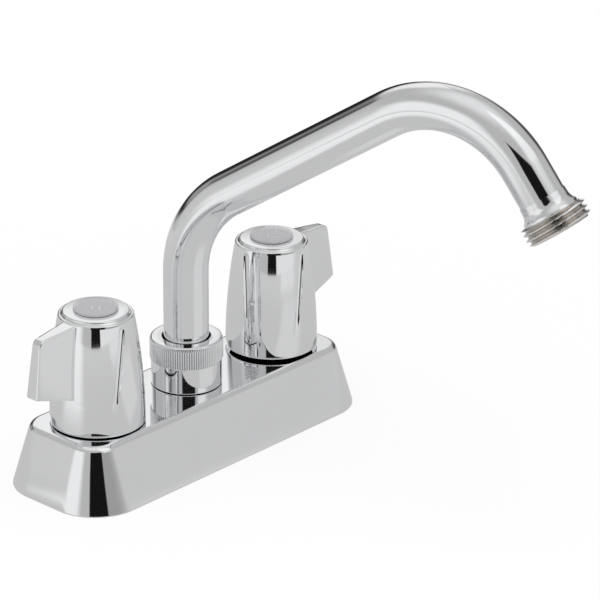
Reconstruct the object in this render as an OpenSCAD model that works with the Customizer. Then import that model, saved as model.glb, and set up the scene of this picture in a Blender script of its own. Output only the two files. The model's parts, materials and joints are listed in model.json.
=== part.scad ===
// Two handle utility sink faucet with a swinging hose spout, on a four inch centre base.
// Millimetres. Origin at the middle of the underside, on the sink deck. Z is up, X runs along the
// base towards the cold side, and the spout leans out towards -Y.

/* [Base cover] */
// length of the cover at the deck
base_length = 163; // [150:0.5:176]
// width of the cover at the deck
base_width = 59; // [54:0.5:66]
// height of the cover above the deck
base_height = 26.5; // [24:0.1:30]
// length at the top, before the edge is rounded
top_length = 149; // [144:0.5:156]
// width at the top, before the edge is rounded
top_width = 44; // [42:0.5:50]
// corner radius at the deck
corner_bottom = 20; // [12:0.5:24]
// corner radius at the top
corner_top = 11.5; // [8:0.5:16]
// rounding of the top edge
edge_round = 3; // [1:0.25:4]
// wall of the cast cover
cover_wall = 1.8; // [1.4:0.1:2.2]

/* [Deck fastening] */
// distance between the two supply shanks
shank_centres = 101.6; // [98:0.1:104]
// outside diameter of the half inch straight pipe thread
shank_d = 20.96; // [20:0.02:21.5]
// shank length below the deck
shank_length = 46; // [44:0.5:60]
// sink deck that the nuts clamp
deck_thickness = 12; // [6:0.5:16]
// height of a lock nut
locknut_height = 10; // [7:0.5:10]
// width over the wings of a lock nut
locknut_span = 46; // [38:0.5:52]

/* [Handles] */
// diameter of the hub at its lower rim
hub_d_bottom = 38.2; // [37:0.1:40]
// diameter of the hub at its shoulder
hub_d_top = 30.2; // [29:0.1:32]
// height from the rim to the shoulder
hub_height = 45.4; // [43:0.1:47]
// wall of the hollow hub
hub_wall = 2; // [1.6:0.1:2.4]
// gap from the base to the rim of the hot handle
hot_rim_gap = 0.5; // [0.4:0.1:3]
// gap from the base to the rim of the cold handle, which sits a little higher
cold_rim_gap = 1.2; // [0.4:0.1:3]
// reach of the blade from the axis, at its lower tip
blade_reach = 35.5; // [33:0.1:39]
// how far the tip leans back from bottom to top
blade_lean = 3.2; // [2:0.1:4.5]
// height of the lower tip above the rim
blade_tip_low = 20; // [18:0.1:23]
// height of the upper tip above the rim
blade_tip_high = 43.7; // [42:0.1:44.2]
// slope of the blade's lower edge
blade_slope = 15.5; // [10:0.5:20]
// blade thickness at the lower edge
blade_thick_low = 6.4; // [5:0.1:8]
// blade thickness at the upper edge
blade_thick_high = 4.4; // [3.5:0.1:5]
// angle by which each side of the blade spreads towards the hub
blade_draft = 5.4; // [3:0.1:7]
// radius of the flutes down the hub
flute_r = 1.4; // [1.2:0.1:1.6]
// depth of a flute at its arched top
flute_depth = 0.8; // [0.5:0.1:1]
// diameter of the clear button
button_d = 18; // [16:0.1:20]
// how far the button stands above the hub
button_rise = 1.4; // [1:0.1:2]

/* [Spout] */
// outside diameter of the tube
tube_d = 18.4; // [17.8:0.05:18.8]
// wall of the tube
tube_wall = 1.1; // [0.8:0.05:1.4]
// height where the riser starts to bend
riser_top = 75; // [68:0.5:90]
// centre line radius of the first bend
first_bend_r = 45; // [40:0.5:55]
// climb of the straight run above level
rise_angle = 33.3; // [28:0.1:40]
// length of the straight run
rise_length = 84.7; // [70:0.1:110]
// centre line radius of the second bend
second_bend_r = 43; // [38:0.5:55]
// dip of the outlet below level
outlet_angle = 54; // [40:0.5:70]
// straight tube after the second bend
outlet_run = 17.5; // [11:0.25:22]
// swing of the spout from straight ahead, as shown
spout_swing = 12; // [-40:0.5:40]

/* [Hose outlet] */
// outside diameter of the hose thread
hose_d = 26.7; // [26.5:0.05:27]
// length of the hose thread
hose_length = 9.6; // [8:0.1:12]
// diameter of the flared collar above the thread
collar_d = 22.4; // [21.8:0.1:24]
// length of the flared collar
collar_length = 4.6; // [3.5:0.1:6]

/* [Spout nut] */
// diameter over the knurled band
knurl_d = 29.9; // [29.6:0.1:31]
// diameter of the plain skirt
skirt_d = 28.9; // [28.4:0.1:29.4]
// height of the skirt
skirt_height = 10.9; // [10:0.1:12]
// height of the knurled band
knurl_height = 8.1; // [7.6:0.1:9]
// opening round the tube
nut_opening_d = 20.4; // [19.6:0.1:21]

/* [Hidden] */
$fn = 64;
// clearance of pieces that slide or turn in one another
running = 0.05;
// clearance of pieces that are seated or screwed together
seated = 0.05;
// air between pieces that pass each other
air = 0.3;
// how far an opening runs past the face that it opens through
through = 1;

// the cover
inner_top = base_height - cover_wall;
cover_hole_r = 13.4;
post_hole_r = 12.5;
bottom_inset = cover_wall + 0.3;
foot_land = 0.5;
corner_facets = 48;
inner_facets = 32;
edge_facets = 24;

// the valves
valve_x = shank_centres / 2;
shank_r = shank_d / 2;
body_r = 12;
body_drop = 4.5;
body_top = base_height - body_drop;
valve_bore_r = 8;
valve_floor = 6;
seat_pocket_r = 4.5;
seat_pocket_floor = 2;
seat_bore_r = 2.8;
inlet_bore_r = 7;
inlet_top = -4;
port_z = 13;
branch_r = 5;
branch_wall = 1;
socket_depth = 2;
thread_relief = 0.7;
thread_relief_length = 2;
bonnet_flange_r = 14.3;
bonnet_skirt_r = cover_hole_r - air;
bonnet_flange_height = 3;
bonnet_foot_gap = 1;
bonnet_foot = port_z + branch_r + bonnet_foot_gap;
bonnet_chamfer = 1;
bonnet_dome_r = 10.5;
bonnet_rise = 13;
bonnet_top = base_height + bonnet_rise;
stem_r = 4.8;
stem_tip_r = 4.2;
stem_step_rise = 18;
stem_step = base_height + stem_step_rise;
stem_rise = 39;
stem_top = base_height + stem_rise;
stem_collar_r = valve_bore_r - air;
stem_collar_height = 6;
stem_collar_proud = 0.5;
stem_collar_top = body_top + stem_collar_proud;
stem_collar_low = stem_collar_top - stem_collar_height;
stem_foot_top = 9.6;
oring_section = 0.75;
oring_room = oring_section + seated;
stem_oring_z = stem_collar_top - stem_collar_height / 2;
stem_oring_r = valve_bore_r - running - oring_section;
screw_r = 2;
screw_hole_depth = 14;

// the fastening below the deck
washer_thickness = 1.6;
washer_r = 16.5;
washer_z = -deck_thickness - seated - washer_thickness;
locknut_z = washer_z - seated - locknut_height;
locknut_barrel_r = 15;
wing_width = 9;
gasket_thickness = 1.5;
gasket_inset = 3;
gasket_end_trim = 2;
relief_gap = 1;
wing_share = 0.6;

// the handles
hub_r_bottom = hub_d_bottom / 2;
hub_r_top = hub_d_top / 2;
hub_draw_in = hub_r_bottom - hub_r_top;
hub_bow_r = (hub_height * hub_height + hub_draw_in * hub_draw_in) / (2 * hub_draw_in);
hub_bands = 9;
disc_r = 13.3;
disc_step = 1.8;
disc_round = 0.6;
shoulder_round = 0.5;
disc_height = hub_height + disc_step;
cavity_height = 32;
cavity_bands = 5;
boss_r = 7.5;
boss_foot = 18;
boss_bore_height = 40;
web_top = 42;
recess_r = 6.2;
screw_head_r = 4;
screw_head_height = 2.2;
screw_length = 11;
plug_gap = 0.2;
button_r = button_d / 2;
button_chamfer = 0.4;
flute_drop = 2.4;
flute_top = hub_height - flute_drop;
flute_fade = 11;
flute_end_depth = 0.2;
side_flute_angle = 86;
side_flute_twist = -19;
back_flute_angle = 190;
back_flute_spread = 9.5;
back_flute_twist = 10;
back_flute_closing = 3;
blade_root = 8;
blade_crown = 0.6;

// the spout
tube_r = tube_d / 2;
first_turn = 90 - rise_angle;
second_turn = rise_angle + outlet_angle;
// the wall draws in a hair round each bend, which starts just inside the straight run
bend_draw = 0.02;
bend_lap = 0.5;
post_r = 12;
post_rise = 9.5;
post_top = base_height + post_rise;
post_foot = 4;
post_bore_r = 10.4;
post_bore_depth = 17;
post_floor = post_top - post_bore_depth;
post_passage_r = 6;
bushing_r = post_bore_r - running;
bushing_foot = post_floor + air;
bushing_bore_r = 6.5;
tube_foot = base_height;
flange_r = 11.8;
flange_low = post_top + air;
flange_height = 3;
washer_low = flange_low + flange_height + seated;
friction_height = 1.1;
spout_oring_r = post_bore_r - running - oring_section;
first_oring_rise = 2.3;
oring_pitch = 2.7;
spout_oring_heights = [for (row = [0, 1]) post_floor + first_oring_rise + row * oring_pitch];
nut_foot = base_height + air;
knurl_low = nut_foot + skirt_height;
knurl_top = knurl_low + knurl_height;
nut_round = 1.3;
nut_top = knurl_top + nut_round;
nut_bore_r = post_r + running;
nut_ledge = washer_low + friction_height + air;
outlet_socket = 5;
outlet_bore_r = 8.2;
outlet_lip = 0.8;
collar_lip = 0.35;
collar_waist = 0.45;
collar_flare = 0.9;

// helpers

module tube(outer, inner, height) {
    difference() {
        cylinder(r = outer, h = height);
        translate([0, 0, -through]) cylinder(r = inner, h = height + 2 * through);
    }
}

module at_hot() translate([-valve_x, 0, 0]) rotate([0, 0, 180]) children();

module at_cold() translate([valve_x, 0, 0]) children();

module four_corners(length, width, inset) {
    for (x = [-1, 1], y = [-1, 1])
        translate([x * (length / 2 - inset), y * (width / 2 - inset), 0]) children();
}

// the cast cover, with tapered sides, conical corners and a rounded top edge

module cover_block() {
    hull() {
        four_corners(base_length, base_width, corner_bottom)
            cylinder(r = corner_bottom, h = foot_land, $fn = corner_facets);
        translate([0, 0, base_height - edge_round])
            four_corners(top_length, top_width, corner_top)
                rotate_extrude($fn = corner_facets)
                    translate([corner_top - edge_round, 0]) circle(r = edge_round, $fn = edge_facets);
    }
}

module cover_cavity() {
    low_r = corner_bottom - bottom_inset;
    high_r = corner_top - bottom_inset;
    hull() {
        translate([0, 0, -through])
            four_corners(base_length - 2 * bottom_inset, base_width - 2 * bottom_inset, low_r)
                cylinder(r = low_r, h = through, $fn = inner_facets);
        translate([0, 0, inner_top - foot_land])
            four_corners(top_length - 2 * bottom_inset, top_width - 2 * bottom_inset, high_r)
                cylinder(r = high_r, h = foot_land, $fn = inner_facets);
    }
}

module cover_hole(x, radius) {
    translate([x, 0, inner_top - through]) cylinder(r = radius, h = cover_wall + 2 * through);
}

module base_cover() {
    color("silver") difference() {
        cover_block();
        cover_cavity();
        for (x = [-valve_x, valve_x]) cover_hole(x, cover_hole_r);
        cover_hole(0, post_hole_r);
    }
}

module deck_gasket() {
    half_length = base_length / 2 - bottom_inset - gasket_inset;
    half_width = base_width / 2 - bottom_inset - gasket_inset;
    color("dimgray") difference() {
        linear_extrude(gasket_thickness) intersection() {
            square([2 * half_length, 2 * half_width], center = true);
            circle(r = half_length - gasket_end_trim);
        }
        for (x = [-valve_x, valve_x])
            translate([x, 0, -through]) cylinder(r = shank_r + seated, h = gasket_thickness + 2 * through);
    }
}

// the brass waterway below the cover

module valve_body() {
    body_foot = gasket_thickness + seated;
    inlet_foot = -shank_length - through;
    relief_z = locknut_z - relief_gap - thread_relief_length;
    color("goldenrod") difference() {
        union() {
            translate([0, 0, body_foot]) cylinder(r = body_r, h = body_top - body_foot);
            translate([0, 0, -shank_length]) cylinder(r = shank_r, h = shank_length + body_foot + through);
        }
        translate([0, 0, valve_floor]) cylinder(r = valve_bore_r, h = body_top);
        translate([0, 0, seat_pocket_floor]) cylinder(r = seat_pocket_r, h = body_top);
        translate([0, 0, inlet_foot]) cylinder(r = seat_bore_r, h = valve_floor - inlet_foot);
        translate([0, 0, inlet_foot]) cylinder(r = inlet_bore_r, h = inlet_top - inlet_foot);
        translate([-body_r - through, 0, port_z]) rotate([0, 90, 0]) {
            cylinder(r = branch_r - branch_wall, h = body_r + through);
            cylinder(r = branch_r + seated, h = socket_depth + through);
        }
        translate([0, 0, relief_z]) tube(shank_r + through, shank_r - thread_relief, thread_relief_length);
    }
}

module branch_tube() {
    start = post_r - socket_depth + seated;
    finish = valve_x - body_r + socket_depth - seated;
    color("peru") translate([start, 0, port_z]) rotate([0, 90, 0])
        tube(branch_r, branch_r - branch_wall, finish - start);
}

module valve_seat() {
    color("black") translate([0, 0, seat_pocket_floor + seated])
        tube(seat_pocket_r - seated, seat_bore_r, valve_floor - seat_pocket_floor - 2 * seated);
}

module spout_post() {
    color("goldenrod") difference() {
        translate([0, 0, post_foot]) cylinder(r = post_r, h = post_top - post_foot);
        translate([0, 0, post_floor]) cylinder(r = post_bore_r, h = post_top);
        translate([0, 0, port_z]) cylinder(r = post_passage_r, h = post_top);
        translate([-post_r - through, 0, port_z]) rotate([0, 90, 0])
            cylinder(r = branch_r - branch_wall, h = 2 * (post_r + through));
        for (side = [-1, 1])
            translate([side * (post_r - socket_depth), 0, port_z]) rotate([0, side * 90, 0])
                cylinder(r = branch_r + seated, h = socket_depth + through);
    }
}

// the nut that keeps the spout on its post

module spout_nut() {
    color("gainsboro") rotate_extrude() polygon([
        [nut_bore_r, nut_foot],
        [skirt_d / 2, nut_foot],
        [skirt_d / 2, knurl_low],
        [knurl_d / 2, knurl_low],
        [knurl_d / 2, knurl_top],
        [knurl_d / 2 - nut_round / 2, knurl_top + nut_round * 0.8],
        [knurl_d / 2 - nut_round, nut_top],
        [nut_opening_d / 2, nut_top],
        [nut_opening_d / 2, nut_ledge],
        [nut_bore_r, nut_ledge]
    ]);
}

module friction_washer() {
    color("white") translate([0, 0, washer_low]) tube(flange_r, tube_r + air, friction_height);
}

// the valve bonnet, which also clamps the cover

module bonnet() {
    color("gainsboro") rotate_extrude() polygon([
        [body_r + running, bonnet_foot],
        [bonnet_skirt_r, bonnet_foot],
        [bonnet_skirt_r, base_height + seated],
        [bonnet_flange_r, base_height + seated],
        [bonnet_flange_r, base_height + bonnet_flange_height],
        [bonnet_dome_r, base_height + bonnet_flange_height],
        [bonnet_dome_r, bonnet_top - bonnet_chamfer],
        [bonnet_dome_r - bonnet_chamfer, bonnet_top],
        [stem_r + air, bonnet_top],
        [stem_r + air, stem_collar_top + air],
        [body_r + running, stem_collar_top + air]
    ]);
}

// fastening below the sink deck

module lock_washer() {
    color("lightgray") translate([0, 0, washer_z]) tube(washer_r, shank_r + seated, washer_thickness);
}

module locknut() {
    color("ivory") translate([0, 0, locknut_z]) difference() {
        union() {
            cylinder(r = locknut_barrel_r, h = locknut_height);
            for (turn = [0, 90]) rotate([0, 0, turn])
                translate([-locknut_span / 2, -wing_width / 2, 0])
                    cube([locknut_span, wing_width, locknut_height * wing_share]);
        }
        translate([0, 0, -through]) cylinder(r = shank_r + seated, h = locknut_height + 2 * through);
    }
}

// the swinging spout

module bend(radius, turn, section) {
    translate([0, -radius, 0]) rotate([90, 0, 90])
        rotate_extrude(angle = turn) translate([radius, 0]) circle(r = section);
}

module after_bend(radius, turn) {
    translate([0, -radius * (1 - cos(turn)), radius * sin(turn)]) rotate([turn, 0, 0]) children();
}

module at_outlet() {
    rotate([0, 0, spout_swing]) translate([0, 0, riser_top])
        after_bend(first_bend_r, first_turn) translate([0, 0, rise_length])
            after_bend(second_bend_r, second_turn) translate([0, 0, outlet_run]) children();
}

module spout_run(section, overrun) {
    translate([0, 0, tube_foot - overrun])
        cylinder(r = section, h = riser_top - tube_foot + overrun + bend_lap);
    translate([0, 0, riser_top]) {
        bend(first_bend_r, first_turn, section - bend_draw);
        after_bend(first_bend_r, first_turn) {
            translate([0, 0, -bend_lap]) cylinder(r = section, h = rise_length + 2 * bend_lap);
            translate([0, 0, rise_length]) {
                bend(second_bend_r, second_turn, section - bend_draw);
                after_bend(second_bend_r, second_turn)
                    translate([0, 0, -bend_lap]) cylinder(r = section, h = outlet_run + overrun + bend_lap);
            }
        }
    }
}

module spout_tube() {
    color("gainsboro") rotate([0, 0, spout_swing]) difference() {
        spout_run(tube_r, 0);
        spout_run(tube_r - tube_wall, through);
    }
}

module hose_outlet() {
    socket_r = tube_r + seated;
    collar_start = -outlet_socket;
    thread_start = collar_start + collar_length;
    thread_end = thread_start + hose_length;
    color("silver") at_outlet() rotate_extrude() polygon([
        [socket_r, collar_start],
        [tube_r + collar_lip, collar_start],
        [tube_r + collar_waist, collar_start + collar_length * 0.5],
        [tube_r + collar_flare, collar_start + collar_length * 0.8],
        [collar_d / 2, thread_start],
        [hose_d / 2 - outlet_lip, thread_start + outlet_lip],
        [hose_d / 2, thread_start + 2 * outlet_lip],
        [hose_d / 2, thread_end - outlet_lip],
        [hose_d / 2 - outlet_lip, thread_end],
        [outlet_bore_r, thread_end],
        [outlet_bore_r, seated],
        [socket_r, seated]
    ]);
}

module spout_bushing() {
    color("goldenrod") difference() {
        union() {
            translate([0, 0, bushing_foot]) cylinder(r = bushing_r, h = flange_low - bushing_foot);
            translate([0, 0, flange_low]) cylinder(r = flange_r, h = flange_height);
        }
        translate([0, 0, bushing_foot - through]) cylinder(r = bushing_bore_r, h = flange_low);
        translate([0, 0, tube_foot - seated]) cylinder(r = tube_r + seated, h = flange_low);
        for (z = spout_oring_heights)
            translate([0, 0, z - oring_room])
                tube(bushing_r + through, spout_oring_r - oring_room, 2 * oring_room);
    }
}

module spout_orings() {
    color("black") for (z = spout_oring_heights)
        translate([0, 0, z]) rotate_extrude() translate([spout_oring_r, 0])
            circle(r = oring_section, $fn = edge_facets);
}

// the turning parts of a valve

module stem() {
    groove_r = stem_oring_r - oring_room;
    color("goldenrod") difference() {
        rotate_extrude() polygon([
            [0, valve_floor + air],
            [stem_collar_r, valve_floor + air],
            [stem_collar_r, stem_foot_top],
            [stem_r, stem_foot_top],
            [stem_r, stem_collar_low],
            [stem_collar_r, stem_collar_low],
            [stem_collar_r, stem_oring_z - oring_room],
            [groove_r, stem_oring_z - oring_room],
            [groove_r, stem_oring_z + oring_room],
            [stem_collar_r, stem_oring_z + oring_room],
            [stem_collar_r, stem_collar_top],
            [stem_r, stem_collar_top],
            [stem_r, stem_step],
            [stem_tip_r, stem_step],
            [stem_tip_r, stem_top],
            [0, stem_top]
        ]);
        translate([0, 0, stem_top - screw_hole_depth])
            cylinder(r = screw_r + seated, h = screw_hole_depth + through);
    }
}

module stem_oring() {
    color("black") translate([0, 0, stem_oring_z])
        rotate_extrude() translate([stem_oring_r, 0]) circle(r = oring_section, $fn = edge_facets);
}

// the blade handle, drawn with its rim at zero and the blade along +X

function hub_radius(height) = hub_r_bottom - hub_bow_r + sqrt(hub_bow_r * hub_bow_r - height * height);

module hub_solid() {
    side = [for (band = [0:hub_bands]) let (h = hub_height * band / hub_bands) [hub_radius(h), h]];
    top = [
        [hub_r_top - shoulder_round, hub_height + shoulder_round],
        [disc_r + disc_round / 2, hub_height + disc_round],
        [disc_r, disc_height - disc_round],
        [disc_r - disc_round, disc_height],
        [0, disc_height]
    ];
    rotate_extrude() polygon(concat([[0, 0]], side, top));
}

module hub_cavity() {
    rim_r = hub_r_bottom - hub_wall;
    wall_line = [
        for (band = [0:cavity_bands])
            let (h = cavity_height * band / cavity_bands) [hub_radius(h) - hub_wall, h]
    ];
    difference() {
        rotate_extrude() polygon(concat([[0, -through], [rim_r, -through]], wall_line, [[0, cavity_height]]));
        translate([0, 0, boss_foot]) cylinder(r = boss_r, h = cavity_height);
    }
}

module blade_side() {
    root_low = blade_tip_low - (blade_reach - blade_root) * tan(blade_slope);
    translate([0, hub_r_bottom, 0]) rotate([90, 0, 0]) linear_extrude(hub_d_bottom) polygon([
        [blade_root, root_low],
        [blade_reach, blade_tip_low],
        [blade_reach - blade_lean, blade_tip_high],
        [blade_root, hub_height + blade_crown]
    ]);
}

module blade_cheek(side) {
    taper = atan((blade_thick_low - blade_thick_high) / 2 / (blade_tip_high - blade_tip_low));
    span = 2 * hub_d_bottom;
    inner = side > 0 ? -span : 0;
    translate([blade_reach, side * blade_thick_low / 2, blade_tip_low])
        rotate([side * taper, 0, -side * blade_draft])
            translate([-span, inner, -span]) cube([2 * span, span, 2 * span]);
}

// twist turns the lower end of the flute round the hub
module flute(twist) {
    start_r = hub_radius(flute_top) + flute_r - flute_depth;
    finish_r = hub_radius(flute_fade) + flute_r - flute_end_depth;
    across = [finish_r * cos(twist) - start_r, finish_r * sin(twist)];
    lean = atan(norm(across) / (flute_top - flute_fade));
    translate([start_r, 0, flute_top]) rotate([0, 180 - lean, atan2(across.y, across.x)]) {
        cylinder(r = flute_r, h = flute_top + 2 * through);
        sphere(r = flute_r);
    }
}

module handle() {
    difference() {
        union() {
            hub_solid();
            intersection() {
                blade_side();
                blade_cheek(1);
                blade_cheek(-1);
            }
        }
        hub_cavity();
        for (side = [-1, 1]) {
            rotate([0, 0, side * side_flute_angle]) flute(side_flute_twist);
            rotate([0, 0, back_flute_angle + side * back_flute_spread])
                flute(back_flute_twist - side * back_flute_closing);
        }
        translate([0, 0, -through]) cylinder(r = stem_tip_r + seated, h = boss_bore_height + through);
        translate([0, 0, -through]) cylinder(r = screw_r + air, h = disc_height + 2 * through);
        translate([0, 0, web_top]) cylinder(r = recess_r, h = disc_height);
    }
}

module handle_screw() {
    color("lightgray") {
        translate([0, 0, web_top + seated]) cylinder(r = screw_head_r, h = screw_head_height);
        translate([0, 0, web_top + seated - screw_length])
            cylinder(r = screw_r, h = screw_length + screw_head_height / 2);
    }
}

module button() {
    plug_low = web_top + seated + screw_head_height + plug_gap;
    color("lightsteelblue") rotate_extrude() polygon([
        [0, plug_low],
        [recess_r - seated, plug_low],
        [recess_r - seated, disc_height + seated],
        [button_r, disc_height + seated],
        [button_r, disc_height + button_rise * (1 - button_chamfer)],
        [button_r - button_rise * button_chamfer, disc_height + button_rise],
        [0, disc_height + button_rise]
    ]);
}

module hot_lift() at_hot() translate([0, 0, base_height + hot_rim_gap]) children();

module cold_lift() at_cold() translate([0, 0, base_height + cold_rim_gap]) children();

// one module for each node

module hot_body() at_hot() valve_body();
module cold_body() at_cold() valve_body();
module hot_branch_tube() rotate([0, 0, 180]) branch_tube();
module cold_branch_tube() branch_tube();
module hot_bonnet() at_hot() bonnet();
module cold_bonnet() at_cold() bonnet();
module hot_seat() at_hot() valve_seat();
module cold_seat() at_cold() valve_seat();
module hot_lock_washer() at_hot() lock_washer();
module cold_lock_washer() at_cold() lock_washer();
module hot_locknut() at_hot() locknut();
module cold_locknut() at_cold() locknut();
module hot_stem() at_hot() stem();
module cold_stem() at_cold() stem();
module hot_stem_oring() at_hot() stem_oring();
module cold_stem_oring() at_cold() stem_oring();
module hot_handle() color("gainsboro") hot_lift() handle();
module cold_handle() color("gainsboro") cold_lift() handle();
module hot_handle_screw() hot_lift() handle_screw();
module cold_handle_screw() cold_lift() handle_screw();
module hot_button() hot_lift() button();
module cold_button() cold_lift() button();

base_cover();
deck_gasket();
hot_body();
cold_body();
hot_branch_tube();
cold_branch_tube();
spout_post();
spout_nut();
friction_washer();
hot_bonnet();
cold_bonnet();
hot_seat();
cold_seat();
hot_lock_washer();
cold_lock_washer();
hot_locknut();
cold_locknut();
spout_tube();
hose_outlet();
spout_bushing();
spout_orings();
hot_stem();
hot_stem_oring();
hot_handle();
hot_handle_screw();
hot_button();
cold_stem();
cold_stem_oring();
cold_handle();
cold_handle_screw();
cold_button();
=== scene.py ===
"""Dresses the utility sink faucet: polished castings, a bent spout, a knurled nut and a hose thread.

Lengths are in metres, in the frame of the solids: Z up, X towards the cold handle, spout towards -Y.
"""

import json
import logging
import math
from collections import Counter
from dataclasses import dataclass
from enum import Enum
from typing import Any, Sequence

import bpy
import numpy as np
from mathutils import Matrix, Vector

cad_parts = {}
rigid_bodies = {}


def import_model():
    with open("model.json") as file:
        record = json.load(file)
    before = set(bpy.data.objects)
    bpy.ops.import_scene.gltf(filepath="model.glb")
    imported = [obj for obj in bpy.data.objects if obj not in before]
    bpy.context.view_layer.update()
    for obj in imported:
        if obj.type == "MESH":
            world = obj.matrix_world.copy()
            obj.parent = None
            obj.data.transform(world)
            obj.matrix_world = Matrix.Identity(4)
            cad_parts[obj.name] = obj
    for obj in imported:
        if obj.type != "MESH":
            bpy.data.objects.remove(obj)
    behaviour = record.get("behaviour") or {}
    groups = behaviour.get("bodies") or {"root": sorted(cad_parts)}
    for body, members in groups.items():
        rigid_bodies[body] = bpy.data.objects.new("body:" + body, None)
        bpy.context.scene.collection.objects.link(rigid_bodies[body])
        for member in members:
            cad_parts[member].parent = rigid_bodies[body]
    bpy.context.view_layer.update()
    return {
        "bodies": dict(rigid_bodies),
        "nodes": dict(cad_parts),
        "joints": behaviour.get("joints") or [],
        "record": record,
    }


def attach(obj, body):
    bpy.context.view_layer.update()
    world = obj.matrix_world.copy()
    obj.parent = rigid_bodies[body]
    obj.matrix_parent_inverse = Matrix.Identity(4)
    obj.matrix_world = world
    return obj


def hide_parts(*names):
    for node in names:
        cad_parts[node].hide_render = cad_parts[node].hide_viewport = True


LOG = logging.getLogger("faucet")
MM = 0.001
MERGE_DISTANCE = 1e-6
QUARTER_TURN = math.pi / 2
DEGREES_PER_RADIAN = math.degrees(1.0)
HOT_RIM_GAP = 0.5 * MM
COLD_RIM_GAP = 1.2 * MM
ORIGIN = (0.0, 0.0, 0.0)
UPWARD = (0.0, 0.0, 1.0)
BLACK = (0.0, 0.0, 0.0)
WHITE = (1.0, 1.0, 1.0)

Colour = tuple[float, float, float]
Place = tuple[float, float, float]
Edges = tuple[float, ...]
Pair = tuple[float, float]
Point = tuple[float, float]


class Body(Enum):
    """The rigid bodies that pieces ride on."""

    BASE = "base"
    SPOUT = "spout"
    HOT = "hot_valve"
    COLD = "cold_valve"


class Slot(Enum):
    """The material slots of the record."""

    CHROME = "chrome"
    BRASS = "brass"
    COPPER = "copper"
    STEEL = "steel"
    RUBBER = "rubber"
    NYLON = "nylon"
    CLEAR = "clear"


class Operation(Enum):
    """Sums that a shader value can do."""

    ADD = "ADD"
    SUBTRACT = "SUBTRACT"
    MULTIPLY = "MULTIPLY"
    MAXIMUM = "MAXIMUM"
    MINIMUM = "MINIMUM"
    ABSOLUTE = "ABSOLUTE"
    ARCSINE = "ARCSINE"
    ARCTAN2 = "ARCTAN2"


class VectorOperation(Enum):
    """Sums that shader vectors can do."""

    SUBTRACT = "SUBTRACT"
    CROSS_PRODUCT = "CROSS_PRODUCT"
    DOT_PRODUCT = "DOT_PRODUCT"
    LENGTH = "LENGTH"


class Value:
    """A shader socket that takes part in Python sums."""

    def __init__(self, nodes: "Nodes", socket: bpy.types.NodeSocket) -> None:
        """Keeps the node tree and the socket that this value comes from."""
        self.nodes = nodes
        self.socket = socket

    def _sum(self, operation: Operation, first: Any, second: Any = 0.0) -> "Value":
        """Adds one Math node for a sum of two values or numbers."""
        return self.nodes.value("ShaderNodeMath", {"operation": operation.value}, {0: first, 1: second})

    def __add__(self, other: Any) -> "Value":
        """Sum of this value and another."""
        return self._sum(Operation.ADD, self, other)

    def __sub__(self, other: Any) -> "Value":
        """This value less another."""
        return self._sum(Operation.SUBTRACT, self, other)

    def __rsub__(self, other: Any) -> "Value":
        """Another value less this."""
        return self._sum(Operation.SUBTRACT, other, self)

    def __mul__(self, other: Any) -> "Value":
        """Product of this value and another."""
        return self._sum(Operation.MULTIPLY, self, other)

    __radd__ = __add__
    __rmul__ = __mul__

    def larger(self, other: Any) -> "Value":
        """The larger of this value and another."""
        return self._sum(Operation.MAXIMUM, self, other)

    def smaller(self, other: Any) -> "Value":
        """The smaller of this value and another."""
        return self._sum(Operation.MINIMUM, self, other)

    def size(self) -> "Value":
        """This value without its sign."""
        return self._sum(Operation.ABSOLUTE, self)

    def arcsine(self) -> "Value":
        """Angle whose sine is this value, in radians."""
        return self._sum(Operation.ARCSINE, self)

    def angle_to(self, other: Any) -> "Value":
        """Angle whose tangent is this value over another, in radians."""
        return self._sum(Operation.ARCTAN2, self, other)

    def ramp(self, low: float, high: float) -> "Value":
        """Smooth step of this value.

        Args:
            low: where the step starts, at 0.
            high: where it ends, at 1. It may be below low, and the step then falls.

        Returns:
            The step as a value.
        """
        rising = high > low
        settings = {"interpolation_type": "SMOOTHSTEP", "clamp": True}
        span = {"From Min": min(low, high), "From Max": max(low, high)}
        ends = {"To Min": 0.0 if rising else 1.0, "To Max": 1.0 if rising else 0.0}
        return self.nodes.value("ShaderNodeMapRange", settings, {"Value": self, **span, **ends}, "Result")

    def within(self, edges: Edges) -> "Value":
        """One smooth step, or a step up and down again.

        Args:
            edges: where the step starts and ends, and then where the step down does, if there is one.

        Returns:
            The step or band as a value.
        """
        if len(edges) == 2:
            return self.ramp(*edges)
        start, full, fade, end = edges
        return self.ramp(start, full) * self.ramp(end, fade)


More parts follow.
